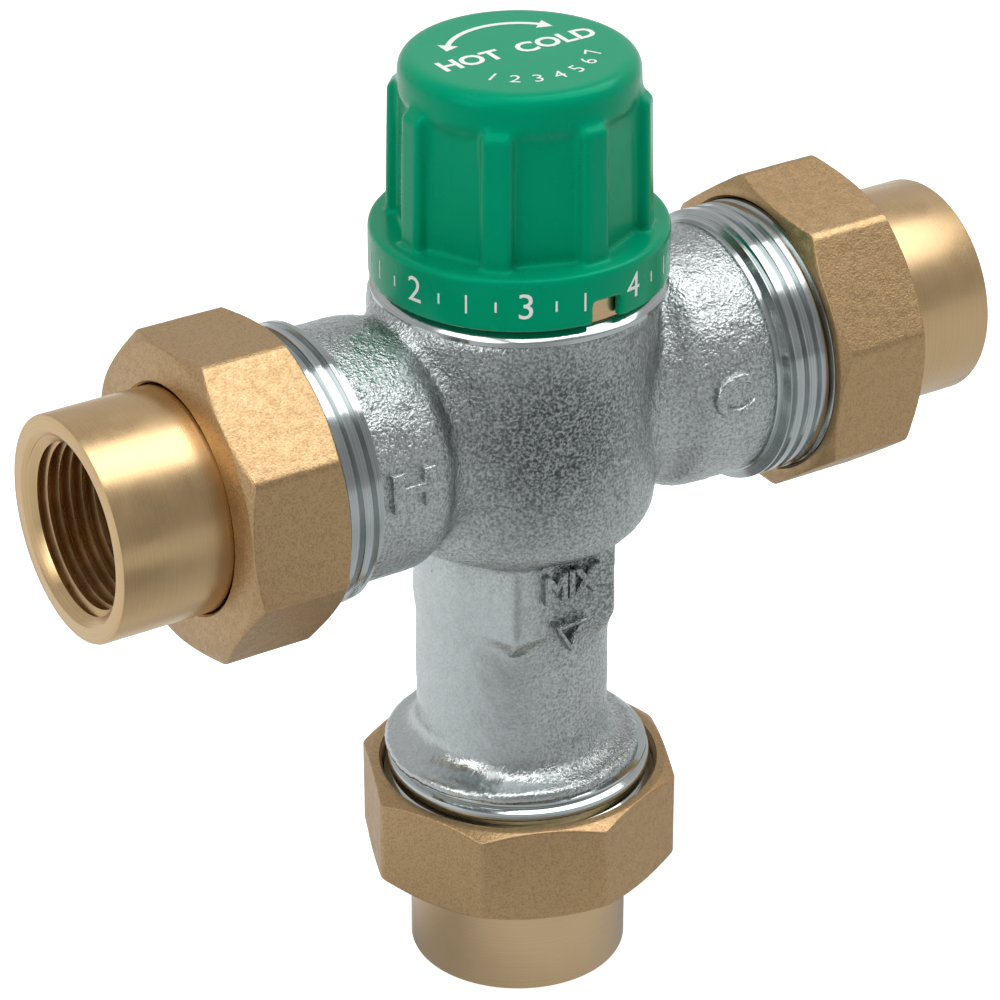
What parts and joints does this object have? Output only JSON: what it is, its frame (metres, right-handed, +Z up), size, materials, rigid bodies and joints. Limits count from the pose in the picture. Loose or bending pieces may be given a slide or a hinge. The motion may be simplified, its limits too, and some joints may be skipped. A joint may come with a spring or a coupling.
{
  "type": "thermostatic mixing valve",
  "caption": "Three-port valve that blends hot and cold water to a set temperature: plated cast tee, brass unions and a green adjusting cap.",
  "frame": {"origin": "centre of the outlet mouth, on the surface the valve stands on", "axes": "+Z up along the valve's upright axis, +X to the cold inlet, -X to the hot inlet, -Y to the front"},
  "size_m": [0.1476, 0.049, 0.1475],
  "materials": {
    "plated_casting": "nickel plate over a rough sand-cast skin, turned threads, ring and rim",
    "cast_brass": "sand-cast brass, fine grain on the flats, turned ends",
    "turned_brass": "turned brass, fine tool marks",
    "green_cap": "moulded green plastic, satin gloss",
    "black_rubber": "moulded EPDM rubber",
    "union_fibre": "pressed fibre and rubber sheet",
    "stainless": "drawn or stamped stainless steel",
    "white_acetal": "moulded acetal",
    "black_polymer": "moulded glass-filled polymer",
    "copper_capsule": "drawn copper cup crimped to a brass guide"
  },
  "bodies": {
    "casting_group": {"valve_body": "plated_casting", "hot_union_nut": "cast_brass", "cold_union_nut": "cast_brass", "outlet_union_nut": "cast_brass", "hot_tailpiece": "turned_brass", "cold_tailpiece": "turned_brass", "outlet_tailpiece": "turned_brass", "hot_union_gasket": "union_fibre", "cold_union_gasket": "union_fibre", "outlet_union_gasket": "union_fibre", "hot_strainer": "stainless", "cold_strainer": "stainless", "hot_check_cage": "white_acetal", "cold_check_cage": "white_acetal", "hot_check_spring": "stainless", "cold_check_spring": "stainless", "bonnet": "turned_brass", "bonnet_seal": "black_rubber", "return_spring": "stainless", "outlet_guide": "black_polymer"},
    "spindle_group": {"spindle": "turned_brass", "spindle_seal": "black_rubber", "spindle_clip": "stainless"},
    "cap_group": {"temperature_cap": "green_cap"},
    "lifter_group": {"lifter_nut": "turned_brass", "cup_clip": "stainless", "overload_spring": "stainless"},
    "cup_group": {"overload_cup": "stainless", "push_pin": "stainless"},
    "element_group": {"wax_capsule": "copper_capsule", "shuttle": "black_polymer", "shuttle_seal": "black_rubber"},
    "hot_poppet_group": {"hot_check_poppet": "black_polymer", "hot_check_seal": "black_rubber"},
    "cold_poppet_group": {"cold_check_poppet": "black_polymer", "cold_check_seal": "black_rubber"}
  },
  "joints": [
    {"name": "spindle_turn", "type": "hinge", "parent": "casting_group", "child": "spindle_group", "pos_m": [0, 0, 0.12], "axis": [0, 0, 1], "range_deg": [-240, 240]},
    {"name": "cap_pull", "type": "slide", "parent": "spindle_group", "child": "cap_group", "axis": [0, 0, 1], "range_m": [0, 0.008]},
    {"name": "lifter_travel", "type": "slide", "parent": "casting_group", "child": "lifter_group", "axis": [0, 0, 1], "range_m": [-0.001, 0.001]},
    {"name": "cup_travel", "type": "slide", "parent": "lifter_group", "child": "cup_group", "axis": [0, 0, 1], "range_m": [0, 0.002], "stiffness_N_per_m": 10000, "springref_m": -0.002, "deforming": ["overload_spring"]},
    {"name": "element_travel", "type": "slide", "parent": "lifter_group", "child": "element_group", "axis": [0, 0, 1], "range_m": [-0.001, 0.0006], "stiffness_N_per_m": 8000, "deforming": ["return_spring"]},
    {"name": "hot_check_open", "type": "slide", "parent": "casting_group", "child": "hot_poppet_group", "axis": [1, 0, 0], "range_m": [0, 0.0025], "stiffness_N_per_m": 300, "springref_m": -0.002, "deforming": ["hot_check_spring"]},
    {"name": "cold_check_open", "type": "slide", "parent": "casting_group", "child": "cold_poppet_group", "axis": [-1, 0, 0], "range_m": [0, 0.0025], "stiffness_N_per_m": 300, "springref_m": -0.002, "deforming": ["cold_check_spring"]}
  ],
  "couplings": [
    {"joint": "spindle_turn", "follows": "lifter_travel", "rad_per_m": 4188}
  ]
}
